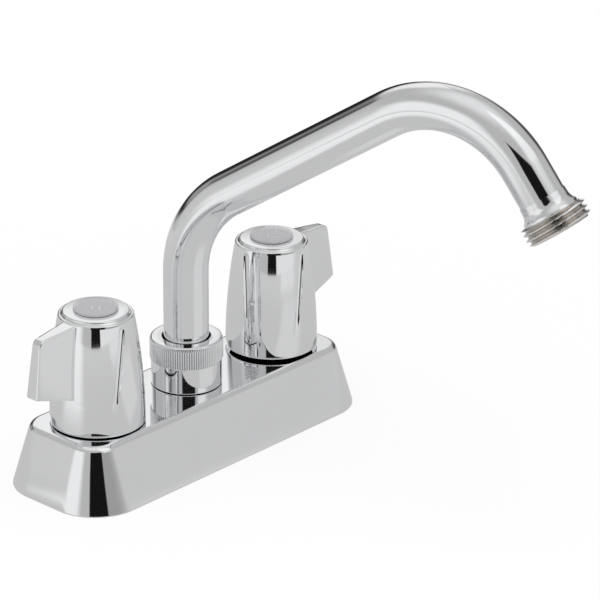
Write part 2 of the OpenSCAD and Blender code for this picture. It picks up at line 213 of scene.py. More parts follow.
class Nodes:
    """A node tree that is filled in from Python."""

    def __init__(self, tree: bpy.types.NodeTree) -> None:
        """Empties the tree."""
        self.tree = tree
        tree.nodes.clear()

    def node(self, kind: str, settings: dict[str, Any], inputs: dict[Any, Any]) -> bpy.types.Node:
        """Adds one node.

        Args:
            kind: the node's type.
            settings: its own settings, which are set first.
            inputs: values or links for its sockets, by name or number.

        Returns:
            The new node.
        """
        made = self.tree.nodes.new(kind)
        for name, setting in settings.items():
            setattr(made, name, setting)
        for key, given in inputs.items():
            if isinstance(given, Value):
                self.tree.links.new(given.socket, made.inputs[key])
            else:
                made.inputs[key].default_value = given
        return made

    def value(self, kind: str, settings: dict[str, Any], inputs: dict[Any, Any], output: Any = 0) -> Value:
        """Adds one node and wraps one of its outputs, by name or number."""
        return Value(self, self.node(kind, settings, inputs).outputs[output])

    def vector(self, operation: VectorOperation, inputs: Sequence[Any], output: str = "Vector") -> Value:
        """Adds one Vector Math node for a sum of vectors."""
        settings = {"operation": operation.value}
        return self.value("ShaderNodeVectorMath", settings, dict(enumerate(inputs)), output)

    def place(self) -> Value:
        """The point on the piece, in the frame of the solids."""
        return self.value("ShaderNodeTexCoord", {}, {}, "Object")

    def split(self, vector: Value) -> tuple[Value, Value, Value]:
        """The X, Y and Z of a vector."""
        made = self.node("ShaderNodeSeparateXYZ", {}, {0: vector})
        return tuple(Value(self, made.outputs[axis]) for axis in range(3))

    def noise(self, scale: float, detail: float) -> Value:
        """Cloudy noise from 0 to 1, with so many blotches per metre and so many finer layers."""
        inputs = {"Vector": self.place(), "Scale": scale, "Detail": detail}
        return self.value("ShaderNodeTexNoise", {}, inputs, "Fac")

    def mix(self, share: Any, first: Any, second: Any) -> Value:
        """Blend of two colours, by the share of the second."""
        first, second = (given if isinstance(given, Value) else (*given, 1.0) for given in (first, second))
        return self.value("ShaderNodeMix", {"data_type": "RGBA"}, {0: share, 6: first, 7: second}, 2)

    def rays(self) -> tuple[Value, Value]:
        """Tells what kind of ray meets the surface.

        Returns:
            1 for a ray from the camera, and 1 for a ray by a mirror or through clear plastic.
        """
        path = self.node("ShaderNodeLightPath", {}, {})
        kinds = ("Is Camera Ray", "Is Glossy Ray", "Is Transmission Ray")
        camera, glossy, through = (Value(self, path.outputs[kind]) for kind in kinds)
        return camera, (glossy + through).smaller(1.0)


def new_material(name: str) -> tuple[bpy.types.Material, Nodes]:
    """Makes a material with an empty node tree.

    Args:
        name: the material's name.

    Returns:
        The material and its tree.
    """
    made = bpy.data.materials.new(name)
    made.use_nodes = True
    return made, Nodes(made.node_tree)


@dataclass(frozen=True)
class Finish:
    """A surface finish, from which a material is made."""

    name: str
    colour: Colour
    metallic: float = 0.0
    roughness: float = 0.4
    roughness_spread: float = 0.05
    cloud_scale: float = 60.0
    cloud_detail: float = 3.0
    shade_spread: float = 0.04
    bump: float = 0.0
    bump_scale: float = 400.0
    bump_detail: float = 2.0
    bump_depth: float = 0.02 * MM

    def material(self) -> bpy.types.Material:
        """Makes the material, with clouded colour and roughness.

        Returns:
            The new material.
        """
        made, nodes = new_material(self.name)
        inputs = {**self.constants(), **self.surface(nodes)}
        shader = nodes.value("ShaderNodeBsdfPrincipled", {}, inputs)
        nodes.node("ShaderNodeOutputMaterial", {}, {"Surface": shader})
        return made

    def constants(self) -> dict[str, float]:
        """What is the same all over the surface."""
        return {"Metallic": self.metallic}

    def surface(self, nodes: Nodes) -> dict[str, Value]:
        """Works out what changes over the surface.

        Args:
            nodes: the tree to add to.

        Returns:
            Values for the shader's sockets.
        """
        cloud = nodes.noise(self.cloud_scale, self.cloud_detail)
        dark = tuple(part * (1.0 - self.shade_spread) for part in self.colour)
        found = {
            "Base Color": nodes.mix(cloud, self.colour, dark),
            "Roughness": self.roughness + self.roughness_spread * (cloud - 0.5),
        }
        if self.bump:
            height = nodes.noise(self.bump_scale, self.bump_detail)
            inputs = {"Strength": self.bump, "Distance": self.bump_depth, "Height": height}
            found["Normal"] = nodes.value("ShaderNodeBump", {}, inputs)
        return found


@dataclass(frozen=True)
class GrooveFinish(Finish):
    """Chrome that is rougher towards the bottom of the grooves round an axis, with painted shade darkening
    its colour there.
    """

    start: Place = ORIGIN
    axis: Place = UPWARD
    length: float = 10 * MM
    fade: float = 0.2 * MM
    groove_r: float = 10 * MM
    crest_r: float = 12 * MM
    groove_shade_colour: Colour = (0.5, 0.5, 0.5)
    groove_shade_share: float = 0.6
    groove_roughness: float = 0.15

    def surface(self, nodes: Nodes) -> dict[str, Value]:
        """Adds the rougher grooves to the finish, with painted shade darkening their colour.

        Args:
            nodes: the tree to add to.

        Returns:
            Values for the shader's sockets.
        """
        found = super().surface(nodes)
        arm = nodes.vector(VectorOperation.SUBTRACT, [nodes.place(), self.start])
        across = nodes.vector(VectorOperation.CROSS_PRODUCT, [arm, self.axis])
        radius = nodes.vector(VectorOperation.LENGTH, [across], "Value")
        along = nodes.vector(VectorOperation.DOT_PRODUCT, [arm, self.axis], "Value")
        ends = (-self.fade, self.fade, self.length - self.fade, self.length + self.fade)
        groove = radius.ramp(self.crest_r, self.groove_r) * along.within(ends)
        # Painted shade: the colour darkens towards the bottom of the grooves.
        found["Base Color"] = nodes.mix(self.groove_shade_share * groove, found["Base Color"], self.groove_shade_colour)
        found["Roughness"] = found["Roughness"] + self.groove_roughness * groove
        return found


@dataclass(frozen=True)
class ClearFinish(Finish):
    """Clear polished plastic, a little milky."""

    index: float = 1.49
    opacity: float = 0.32

    def constants(self) -> dict[str, float]:
        """Adds how clear the plastic is and how it bends light."""
        return {**super().constants(), "IOR": self.index, "Alpha": self.opacity}


CHROME = Finish(
    "chrome", (0.9, 0.905, 0.915), metallic=1.0, roughness=0.05, roughness_spread=0.02,
    cloud_scale=35.0, shade_spread=0.015, bump=0.03, bump_scale=90.0,
)
BRASS = Finish(
    "machined_brass", (0.72, 0.56, 0.28), metallic=1.0, roughness=0.26, roughness_spread=0.12,
    cloud_scale=80.0, shade_spread=0.12, bump=0.15, bump_scale=900.0,
)
COPPER = Finish(
    "drawn_copper", (0.74, 0.43, 0.29), metallic=1.0, roughness=0.28, roughness_spread=0.12,
    cloud_scale=90.0, shade_spread=0.18, bump=0.12, bump_scale=700.0,
)
ZINC = Finish(
    "zinc_plate", (0.66, 0.67, 0.69), metallic=1.0, roughness=0.34, roughness_spread=0.14,
    cloud_scale=120.0, shade_spread=0.1, bump=0.2, bump_scale=900.0,
)
RUBBER = Finish(
    "moulded_rubber", (0.03, 0.03, 0.032), roughness=0.62, roughness_spread=0.15,
    cloud_scale=150.0, shade_spread=0.25, bump=0.25, bump_scale=1200.0,
)
NYLON = Finish(
    "moulded_nylon", (0.82, 0.81, 0.76), roughness=0.46, roughness_spread=0.1,
    cloud_scale=100.0, shade_spread=0.05, bump=0.15, bump_scale=800.0,
)
CLEAR = ClearFinish(
    "clear_button", (0.48, 0.48, 0.5), roughness=0.06, roughness_spread=0.02,
    cloud_scale=200.0, shade_spread=0.03,
)
INSERT = Finish(
    "button_backing", (0.56, 0.56, 0.575), roughness=0.4, roughness_spread=0.1,
    cloud_scale=500.0, shade_spread=0.12,
)
MARK = Finish(
    "button_mark", (0.97, 0.97, 0.98), metallic=1.0, roughness=0.15, roughness_spread=0.1,
    cloud_scale=500.0, shade_spread=0.05,
)
SLOT_FINISHES: dict[Slot, Finish] = {
    Slot.CHROME: CHROME,
    Slot.BRASS: BRASS,
    Slot.COPPER: COPPER,
    Slot.STEEL: ZINC,
    Slot.RUBBER: RUBBER,
    Slot.NYLON: NYLON,
    Slot.CLEAR: CLEAR,
}


class Bench:
    """Mesh tools, used as a modeller uses them by hand."""

    DRILL_SIDES = 96

    @staticmethod
    def clear() -> None:
        """Leaves edit mode with nothing selected."""
        if bpy.context.object and bpy.context.object.mode != "OBJECT":
            bpy.ops.object.mode_set(mode="OBJECT")
        bpy.ops.object.select_all(action="DESELECT")

    @staticmethod
    def pick(piece: bpy.types.Object) -> None:
        """Makes one piece the only one that is selected.

        Args:
            piece: the piece to select.
        """
        Bench.clear()
        piece.select_set(True)
        bpy.context.view_layer.objects.active = piece

    @staticmethod
    def edit(piece: bpy.types.Object) -> None:
        """Opens a piece in edit mode with all of it selected.

        Args:
            piece: the piece to open.
        """
        Bench.pick(piece)
        bpy.ops.object.mode_set(mode="EDIT")
        bpy.ops.mesh.select_mode(type="VERT")
        bpy.ops.mesh.select_all(action="SELECT")

    @staticmethod
    def shade(piece: bpy.types.Object, sharp_degrees: float) -> None:
        """Sets smooth shading, with edges above an angle left sharp."""
        Bench.pick(piece)
        bpy.ops.object.shade_smooth_by_angle(angle=math.radians(sharp_degrees))

    @staticmethod
    def tidy(piece: bpy.types.Object, sharp_degrees: float) -> None:
        """Closes seams, points faces outwards and sets smooth shading.

        Args:
            piece: the piece to finish.
            sharp_degrees: the angle above which an edge stays sharp.
        """
        Bench.edit(piece)
        bpy.ops.mesh.remove_doubles(threshold=MERGE_DISTANCE)
        bpy.ops.mesh.normals_make_consistent(inside=False)
        Bench.shade(piece, sharp_degrees)

    @staticmethod
    def apply(piece: bpy.types.Object, kind: str, **settings: Any) -> None:
        """Adds a modifier and applies it.

        Args:
            piece: the piece to change.
            kind: the modifier's type.
            settings: its settings.
        """
        Bench.pick(piece)
        modifier = piece.modifiers.new(kind.lower(), kind)
        for name, setting in settings.items():
            setattr(modifier, name, setting)
        bpy.ops.object.modifier_apply(modifier=modifier.name)

    @staticmethod
    def join(pieces: Sequence[bpy.types.Object]) -> bpy.types.Object:
        """Joins pieces into the first.

        Args:
            pieces: the pieces to join.

        Returns:
            The joined piece.
        """
        Bench.pick(pieces[0])
        for piece in pieces[1:]:
            piece.select_set(True)
        bpy.ops.object.join()
        return bpy.context.object

    @staticmethod
    def lathe(name: str, profile: Sequence[Point], steps: int, sharp_degrees: float) -> bpy.types.Object:
        """Draws a closed profile point by point and spins it round the Z axis.

        Args:
            name: the new piece's name.
            profile: radius and height of each point.
            steps: how many steps the turn has.
            sharp_degrees: the angle above which an edge stays sharp.

        Returns:
            The turned piece.
        """
        Bench.clear()
        bpy.ops.mesh.primitive_plane_add(size=MM)
        piece = bpy.context.object
        piece.name = name
        Bench.edit(piece)
        bpy.ops.mesh.merge(type="CENTER")
        bpy.ops.transform.translate(value=(profile[0][0], 0.0, profile[0][1]))
        for here, there in zip(profile, [*profile[1:], profile[0]]):
            step = (there[0] - here[0], 0.0, there[1] - here[1])
            bpy.ops.mesh.extrude_vertices_move(TRANSFORM_OT_translate={"value": step})
        bpy.ops.mesh.select_all(action="SELECT")
        bpy.ops.mesh.remove_doubles(threshold=MERGE_DISTANCE)
        bpy.ops.mesh.spin(steps=steps, angle=math.tau, center=ORIGIN, axis=UPWARD)
        Bench.tidy(piece, sharp_degrees)
        return piece

    @staticmethod
    def wrap(name: str, points: np.ndarray, sharp_degrees: float) -> bpy.types.Object:
        """Bends a flat grid round into a shape.

        Args:
            name: the new piece's name.
            points: where each grid point goes, by row, column and axis.
            sharp_degrees: the angle above which an edge stays sharp.

        Returns:
            The new piece.
        """
        rows, columns = points.shape[0] - 1, points.shape[1] - 1
        Bench.clear()
        bpy.ops.mesh.primitive_grid_add(x_subdivisions=columns, y_subdivisions=rows, size=2.0)
        piece = bpy.context.object
        piece.name = name
        flat = np.zeros(len(piece.data.vertices) * 3)
        piece.data.vertices.foreach_get("co", flat)
        flat = flat.reshape(-1, 3)
        column = np.rint((flat[:, 0] + 1.0) / 2.0 * columns).astype(int)
        row = np.rint((flat[:, 1] + 1.0) / 2.0 * rows).astype(int)
        piece.data.vertices.foreach_set("co", points[row, column].ravel())
        piece.data.update()
        Bench.tidy(piece, sharp_degrees)
        return piece

    @staticmethod
    def drill(piece: bpy.types.Object, centre: Place, radius: float, depth: float) -> None:
        """Drills a round hole along Z.

        Args:
            piece: the piece to drill.
            centre: the middle of the hole.
            radius: the hole's radius.
            depth: the drill's length.
        """
        Bench.clear()
        bpy.ops.mesh.primitive_cylinder_add(
            vertices=Bench.DRILL_SIDES, radius=radius, depth=depth, location=centre
        )
        drill = bpy.context.object
        Bench.apply(piece, "BOOLEAN", operation="DIFFERENCE", solver="MANIFOLD", object=drill)
        bpy.data.objects.remove(drill)


def arc(centre: Point, radius: float, start: float, end: float, steps: int) -> list[Point]:
    """Points along an arc.

    Args:
        centre: the arc's centre.
        radius: its radius.
        start: the angle at its first point, in degrees.
        end: the angle at its last point, in degrees.
        steps: how many steps it has.

    Returns:
        The points, first and last included.
    """
    angles = [math.radians(start + (end - start) * step / steps) for step in range(steps + 1)]
    return [(centre[0] + radius * math.cos(a), centre[1] + radius * math.sin(a)) for a in angles]


def around(radius: Any, turn: np.ndarray) -> np.ndarray:
    """Points at a radius and a turn in radians, in X and Y."""
    return np.stack([radius * np.cos(turn), radius * np.sin(turn)], axis=-1)


def smaller_smooth(first: np.ndarray, second: np.ndarray, blend: float) -> np.ndarray:
    """The smaller of two lengths, with the corner between them rounded over a blend's reach."""
    overlap = np.clip(blend - np.abs(first - second), 0.0, None) / blend
    return np.minimum(first, second) - overlap * overlap * blend / 4.0


@dataclass
class Cover:
    """The cast cover plate, with tapered sides, conical corners and a rounded top edge."""

    length: float = 163 * MM
    width: float = 59 * MM
    height: float = 26.5 * MM
    top_length: float = 149 * MM
    top_width: float = 44 * MM
    corner_bottom: float = 20 * MM
    corner_top: float = 11.5 * MM
    edge_round: float = 3 * MM
    wall: float = 1.8 * MM
    inset: float = 2.1 * MM
    foot_land: float = 0.5 * MM
    valve_x: float = 50.8 * MM
    valve_hole_r: float = 13.4 * MM
    post_hole_r: float = 12.5 * MM
    corner_steps: int = 28
    edge_steps: int = 12
    nudge: float = 0.01 * MM
    sharp_degrees: float = 35.0

    def side_angle(self, bottom: float, top: float) -> float:
        """Lean of a side that touches the rounded edge.

        Args:
            bottom: half the cover's size at the deck.
            top: half its size at the rounded edge.

        Returns:
            The lean from upright, in radians.
        """
        across = bottom - (top - self.edge_round)
        down = self.height - self.edge_round - self.foot_land
        return math.acos(self.edge_round / math.hypot(across, down)) - math.atan2(down, across)

    def outline(self, length: float, width: float, radius: float, height: float) -> bpy.types.Object:
        """A level outline with round corners.

        Args:
            length: its size along X.
            width: its size along Y.
            radius: its corner radius.
            height: where it lies.

        Returns:
            The outline, as edges only.
        """
        Bench.clear()
        bpy.ops.mesh.primitive_plane_add(size=1.0, location=(0.0, 0.0, height))
        plate = bpy.context.object
        bpy.ops.transform.resize(value=(length, width, 1.0))
        bpy.ops.object.transform_apply(location=True, rotation=False, scale=True)
        Bench.edit(plate)
        bpy.ops.mesh.bevel(offset=radius, segments=self.corner_steps, profile=0.5, affect="VERTICES")
        bpy.ops.mesh.select_all(action="SELECT")
        bpy.ops.mesh.delete(type="ONLY_FACE")
        return plate

    def select_open(self, piece: bpy.types.Object, low: float, high: float) -> None:
        """Selects the open edges between two heights.

        Args:
            piece: the piece to look at.
            low: the lowest height.
            high: the highest height.
        """
        Bench.edit(piece)
        bpy.ops.mesh.select_mode(type="EDGE")
        bpy.ops.mesh.select_all(action="DESELECT")
        bpy.ops.object.mode_set(mode="OBJECT")
        faces = Counter(key for face in piece.data.polygons for key in face.edge_keys)
        low, high = low - self.nudge, high + self.nudge
        for edge in piece.data.edges:
            heights = [piece.data.vertices[corner].co.z for corner in edge.vertices]
            edge.select = low <= min(heights) and max(heights) <= high and faces[edge.key] < 2
        bpy.ops.object.mode_set(mode="EDIT")

    def shell(self, low: bpy.types.Object, high: bpy.types.Object, top: float) -> bpy.types.Object:
        """Bridges two outlines and closes the upper one.

        Args:
            low: the lower outline.
            high: the upper outline.
            top: the upper outline's height.

        Returns:
            The shell, open in edit mode with its top selected.
        """
        shell = Bench.join([low, high])
        self.select_open(shell, 0.0, top)
        bpy.ops.mesh.bridge_edge_loops()
        self.select_open(shell, top, top)
        bpy.ops.mesh.edge_face_add()
        return shell

    def build(self) -> bpy.types.Object:
        """Models the cover.

        Returns:
            The finished cover.
        """
        end_lean = self.side_angle(self.length / 2, self.top_length / 2)
        front_lean = self.side_angle(self.width / 2, self.top_width / 2)
        rise = self.height - self.foot_land
        top_length = self.length - 2 * rise * math.tan(end_lean)
        top_width = self.width - 2 * rise * math.tan(front_lean)
        tangent = self.edge_round * math.tan((QUARTER_TURN - end_lean) / 2)
        top_corner = self.corner_top - self.edge_round + tangent
        low = self.outline(self.length, self.width, self.corner_bottom, self.foot_land)
        high = self.outline(top_length, top_width, top_corner, self.height)
        outside = self.shell(low, high, self.height)
        bpy.ops.mesh.bevel(offset=tangent, segments=self.edge_steps, profile=0.5, affect="EDGES")
        self.select_open(outside, self.foot_land, self.foot_land)
        bpy.ops.mesh.extrude_region_move(TRANSFORM_OT_translate={"value": (0.0, 0.0, -self.foot_land)})

        inset = self.inset
        inner_top = self.height - self.wall
        inner_corner = self.corner_bottom - inset
        low = self.outline(self.length - 2 * inset, self.width - 2 * inset, inner_corner, 0.0)
        inner_corner = self.corner_top - inset
        high = self.outline(self.top_length - 2 * inset, self.top_width - 2 * inset, inner_corner, inner_top)
        cover = Bench.join([outside, self.shell(low, high, inner_top)])
        cover.name = "cover_plate"
        self.select_open(cover, 0.0, 0.0)
        bpy.ops.mesh.bridge_edge_loops()
        Bench.tidy(cover, self.sharp_degrees)
        for x in (-self.valve_x, self.valve_x, 0.0):
            radius = self.valve_hole_r if x else self.post_hole_r
            Bench.drill(cover, (x, 0.0, self.height), radius, 4 * self.wall)
        Bench.shade(cover, self.sharp_degrees)
        Bench.apply(cover, "WEIGHTED_NORMAL", keep_sharp=True, weight=100)
        return cover


@dataclass
class Handle:
    """A blade handle: a bowed hub with flutes, one blade and a stepped top."""

    rim_r: float = 19.1 * MM
    rim_round: float = 0.5 * MM
    height: float = 45.4 * MM
    wall: float = 2 * MM
    wall_rows: int = 7
    shoulder_r: float = 15.1 * MM
    shoulder_round: float = 0.7 * MM
    shoulder_in: float = 0.75 * MM
    shoulder_drop: float = 0.1 * MM
    disc_r: float = 13.3 * MM
    disc_step: float = 1.8 * MM
    disc_round: float = 0.7 * MM
    disc_in: float = 0.65 * MM
    groove_round: float = 0.3 * MM
    groove_out: float = 0.75 * MM
    groove_rise: float = 0.8 * MM
    recess_r: float = 6.2 * MM
    recess_floor: float = 42 * MM
    stem_r: float = 4.25 * MM
    boss_r: float = 7.5 * MM
    boss_foot: float = 18 * MM
    roof: float = 32 * MM
    reach: float = 35.5 * MM
    lean: float = 3.2 * MM
    tip_low: float = 20 * MM
    tip_high: float = 43.7 * MM
    slope_degrees: float = 15.5
    top_slope_degrees: float = 5.4
    low_corner_r: float = 0.8 * MM
    high_corner_r: float = 3.2 * MM
    thick_low: float = 6.4 * MM
    thick_high: float = 4.4 * MM
    draft_degrees: float = 5.4
    edge_round: float = 0.7 * MM
    root_fillet: float = 0.8 * MM
    root_least_r: float = 6 * MM
    fillet_tries: int = 4
    tip_columns: int = 5
    corner_columns: int = 6
    side_columns: int = 16
    fillet_columns: int = 9
    blade_degrees: float = 20.0
    blend_degrees: float = 40.0
    flute_r: float = 1.4 * MM
    flute_top: float = 43 * MM
    flute_fade: float = 11 * MM
    flute_depth: float = 0.8 * MM
    flute_end_depth: float = 0.2 * MM
    flute_soft: float = 0.55 * MM
    flute_half_degrees: float = 6.0
    flute_step_degrees: float = 0.4
    plain_step_degrees: float = 2.5
    column_gap_degrees: float = 1.0
    flutes: tuple[Pair, ...] = ((86.0, -19.0), (180.5, 13.0), (199.5, 7.0), (274.0, -19.0))
    sharp_degrees: float = 40.0

    def hub_radius(self, height: Any) -> np.ndarray:
        """Radius of the bowed hub.

        Args:
            height: height above the rim.

        Returns:
            The radius at that height.
        """
        draw_in = self.rim_r - self.shoulder_r
        bow = (self.height**2 + draw_in**2) / (2 * draw_in)
        return self.rim_r - bow + np.sqrt(bow**2 - np.clip(height, 0.0, self.height) ** 2)

    def side_heights(self) -> np.ndarray:
        """Heights of the rows up the side, close together where the blade starts and ends.

        Returns:
            The heights, from the rim to the shoulder.
        """
        low_edge = self.tip_low - (self.reach - self.rim_r) * math.tan(math.radians(self.slope_degrees))
        stretches = (
            (self.rim_round, low_edge - 0.5 * MM, 14),
            (low_edge - 0.4 * MM, self.tip_low + 1.2 * MM, 44),
            (self.tip_low + 1.8 * MM, self.tip_high - 4.7 * MM, 18),
            (self.tip_high - 4.3 * MM, self.tip_high - 0.9 * MM, 16),
            (self.tip_high - 0.75 * MM, self.height - 0.5 * MM, 26),
        )
        return np.concatenate([np.linspace(start, end, count) for start, end, count in stretches])

    def profile(self) -> tuple[np.ndarray, np.ndarray, np.ndarray]:
        """The closed profile of the hub, round from the rim by the top and back inside.

        Returns:
            Radius and height of each row, and how much of the blade shows in it.
        """
        top = self.height + self.disc_step
        rim = arc((self.rim_r - self.rim_round, self.rim_round), self.rim_round, -90, 0, 4)
        side = [(float(self.hub_radius(z)), float(z)) for z in self.side_heights()]
        middle = (self.shoulder_r - self.shoulder_in, self.height - self.shoulder_drop)
        shoulder = arc(middle, self.shoulder_round, 10, 100, 7)
        middle = (self.disc_r + self.groove_out, self.height + self.groove_rise)
        groove = arc(middle, self.groove_round, 260, 190, 3)
        ring = arc((self.disc_r - self.disc_in, top - self.disc_round), self.disc_round, -5, 90, 8)
        inside = [
            (self.recess_r, top),
            (self.recess_r, self.recess_floor),
            (self.stem_r, self.recess_floor),
            (self.stem_r, self.boss_foot),
            (self.boss_r, self.boss_foot),
            (self.boss_r, self.roof),
        ]
        levels = np.linspace(self.roof, 0.0, self.wall_rows)
        wall = [(float(self.hub_radius(z)) - self.wall, float(z)) for z in levels]
        bladed = [*rim, *side, *shoulder, *groove]
        rows = np.array([*bladed, *ring, *inside, *wall, rim[0]])
        shown = np.arange(len(rows)) < len(bladed)
        return rows[:, 0], rows[:, 1], shown

    def angles(self) -> np.ndarray:
        """Angles of the columns at the top of the hub, close together at the flutes.

        Returns:
            The angles from just beyond the blade round to just before it, in degrees.
        """
        past_end = 0.1
        half = self.flute_half_degrees
        near = np.arange(-half, half + past_end, self.flute_step_degrees)
        dense = np.concatenate([centre + near for centre, _ in self.flutes])
        plain = np.arange(self.blade_degrees, 360.0 - self.blade_degrees + past_end, self.plain_step_degrees)
        clear = [angle for angle in plain if np.abs(dense - angle).min() > self.column_gap_degrees]
        return np.unique(np.round(np.concatenate([dense, clear]), 3))

    def flute_line(self, height: float, twist: float) -> Pair:
        """Where the middle line of a flute's round section passes a height.

        Args:
            height: height above the rim.
            twist: how far the flute's lower end is turned round the hub, in degrees.

        Returns:
            Its distance from the hub's axis, and its turn from the flute's top in degrees.
        """
        top_r = float(self.hub_radius(self.flute_top)) + self.flute_r - self.flute_depth
        end_r = float(self.hub_radius(self.flute_fade)) + self.flute_r - self.flute_end_depth
        share = max((self.flute_top - height) / (self.flute_top - self.flute_fade), 0.0)
        x = top_r + (end_r * math.cos(math.radians(twist)) - top_r) * share
        y = end_r * math.sin(math.radians(twist)) * share
        return math.hypot(x, y), math.degrees(math.atan2(y, x))

    def turned(self, degrees: np.ndarray, height: float, root: float) -> np.ndarray:
        """Leads the columns along the flutes.

        Args:
            degrees: angle of each column at the top of the hub.
            height: height above the rim.
            root: angle at which the blade's side meets the hub.

        Returns:
            The angle of each column at that height.
        """
        above = [root]
        here = [root]
        for centre, twist in self.flutes:
            turn = self.flute_line(max(height, self.flute_fade), twist)[1]
            for edge in (centre - self.flute_half_degrees, centre + self.flute_half_degrees):
                above.append(edge)
                here.append(edge + turn)
        return np.interp(degrees, [*above, 360.0 - root], [*here, 360.0 - root])

    def fluted(self, degrees: np.ndarray, radius: float, height: float) -> np.ndarray:
        """Cuts the flutes into the hub at one height.

        Args:
            degrees: angle of each point.
            radius: radius of the plain hub.
            height: height above the rim.

        Returns:
            The radius of each point with the flutes cut.
        """
        cut = np.full(len(degrees), radius)
        above = max(height - self.flute_top, 0.0)
        if above >= self.flute_r:
            return cut
        section = math.sqrt(self.flute_r**2 - above**2)
        for centre, twist in self.flutes:
            away, turned = self.flute_line(height, twist)
            turn = np.radians(degrees - centre - turned)
            across = away * np.sin(turn)
            floor = away * np.cos(turn) - np.sqrt(np.clip(section**2 - across**2, 0.0, None))
            inside = (np.abs(across) < section) & (np.cos(turn) > 0.0)
            cut = smaller_smooth(cut, np.where(inside, floor, radius + self.flute_r), self.flute_soft)
        return cut

    def rounded_end(self, height: float, corner_r: float, upper: bool) -> float:
        """How far the blade reaches near one of its rounded corners.

        Args:
            height: height above the rim.
            corner_r: the corner's radius.
            upper: whether it is the upper corner.

        Returns:
            The reach at that height, by the tip line, the corner or the edge line.
        """
        low = Vector((self.reach, self.tip_low))
        high = Vector((self.reach - self.lean, self.tip_high))
        sign = 1.0 if upper else -1.0
        corner = high if upper else low
        along_tip = ((low - high) * sign).normalized()
        slope = math.radians(self.top_slope_degrees if upper else self.slope_degrees)
        along_edge = Vector((-math.cos(slope), sign * math.sin(slope)))
        half = along_tip.angle(along_edge) / 2
        centre = corner + (along_tip + along_edge).normalized() * (corner_r / math.sin(half))
        on_tip = corner + along_tip * (corner_r / math.tan(half))
        on_edge = corner + along_edge * (corner_r / math.tan(half))
        if sign * (height - on_tip.y) <= 0.0:
            return corner.x + along_tip.x / along_tip.y * (height - corner.y)
        if sign * (height - on_edge.y) <= 0.0:
            return centre.x + math.sqrt(max(corner_r**2 - (height - centre.y) ** 2, 0.0))
        return corner.x + along_edge.x / along_edge.y * (height - corner.y)

    def blade_end(self, height: float) -> float:
        """How far the blade reaches at a height above the rim."""
        upper = self.rounded_end(height, self.high_corner_r, True)
        return min(upper, self.rounded_end(height, self.low_corner_r, False))

    def blade_half(self, x: Any, height: float) -> np.ndarray:
        """Half the blade's thickness, with its lower and upper edges rounded.

        Args:
            x: distance from the hub's axis.
            height: height above the rim.

        Returns:
            Half the thickness.
        """
        share = (height - self.tip_low) / (self.tip_high - self.tip_low)
        tip = self.reach - self.lean * share
        half = (self.thick_low + (self.thick_high - self.thick_low) * share) / 2
        half = half + (tip - x) * math.tan(math.radians(self.draft_degrees))
        under = self.tip_low - (self.reach - x) * math.tan(math.radians(self.slope_degrees))
        over = self.tip_high + (self.reach - self.lean - x) * math.tan(math.radians(self.top_slope_degrees))
        depth = np.clip(np.minimum(height - under, over - height), 0.0, self.edge_round)
        return half - self.edge_round + np.sqrt(self.edge_round**2 - (self.edge_round - depth) ** 2)

    def blade_side(self, radius: float, height: float) -> np.ndarray:
        """One side of the blade at one height, from the middle of its tip to the hub.

        Args:
            radius: the hub's radius there.
            height: height above the rim.

        Returns:
            The points of the side, in X and Y.
        """
        end = max(self.blade_end(height), 0.5 * radius)
        lean = math.radians(self.draft_degrees)
        reach = radius + self.root_fillet
        off = float(self.blade_half(radius, height)) + self.root_fillet
        foot_x = math.sqrt(max(reach**2 - off**2, 0.0))
        for _ in range(self.fillet_tries):
            off = float(self.blade_half(foot_x, height)) + self.root_fillet / math.cos(lean)
            foot_x = math.sqrt(max(reach**2 - off**2, 0.0))
        hub_degrees = math.degrees(math.atan2(off, foot_x))
        start_x = foot_x + self.root_fillet * math.sin(lean)
        tip_x = max(end, start_x + 1.4 * self.edge_round)
        flat_half = max(float(self.blade_half(tip_x, height)), self.edge_round) - self.edge_round
        flat = [(tip_x, y) for y in np.linspace(0.0, flat_half, self.tip_columns)]
        corner = arc((tip_x - self.edge_round, flat_half), self.edge_round, 0, 90, self.corner_columns)
        run = np.linspace(corner[-1][0], start_x, self.side_columns + 1)[1:]
        plain = zip(run, self.blade_half(run, height))
        begin, finish = self.draft_degrees - 90.0, hub_degrees - 180.0
        fillet = arc((foot_x, off), self.root_fillet, begin, finish, self.fillet_columns)
        side = np.array([*flat, *corner[1:], *plain, *fillet[1:]])
        side[:, 0] = np.minimum(side[:, 0], end)
        return side

    def outline(self, radius: float, height: float, shown: bool) -> np.ndarray:
        """The whole outline of the handle at one row.

        Args:
            radius: the hub's radius there.
            height: height above the rim.
            shown: whether the blade and flutes are part of the row.

        Returns:
            The points round the outline, in X and Y, closed on the first.
        """
        side = self.blade_side(max(radius, self.root_least_r), height)
        turn = np.arctan2(side[:, 1], side[:, 0])
        first = math.degrees(turn[-1])
        away = np.hypot(side[:, 0], side[:, 1])
        blade = around(np.maximum(away, radius) if shown else radius, turn)
        degrees = self.angles()
        share = (360.0 - 2 * first) / (360.0 - 2 * self.blade_degrees)
        squeezed = first + (degrees - self.blade_degrees) * share
        from_blade = np.minimum(degrees, 360.0 - degrees) - self.blade_degrees
        blend = np.clip(from_blade / self.blend_degrees, 0.0, 1.0)
        degrees = self.turned(squeezed + (degrees - squeezed) * blend, height, first)
        hub = self.fluted(degrees, radius, height) if shown else radius
        arch = around(hub, np.radians(degrees))
        mirrored = blade[::-1] * np.array([1.0, -1.0])
        return np.concatenate([blade, arch[1:-1], mirrored])

    def build(self, name: str) -> bpy.types.Object:
        """Models the handle with its rim at zero and its blade along X.

        Args:
            name: the new piece's name.

        Returns:
            The finished handle.
        """
        radius, height, shown = self.profile()
        rows = np.array([self.outline(*row) for row in zip(radius, height, shown)])
        level = np.repeat(height[:, None], rows.shape[1], axis=1)
        return Bench.wrap(name, np.concatenate([rows, level[:, :, None]], axis=2), self.sharp_degrees)


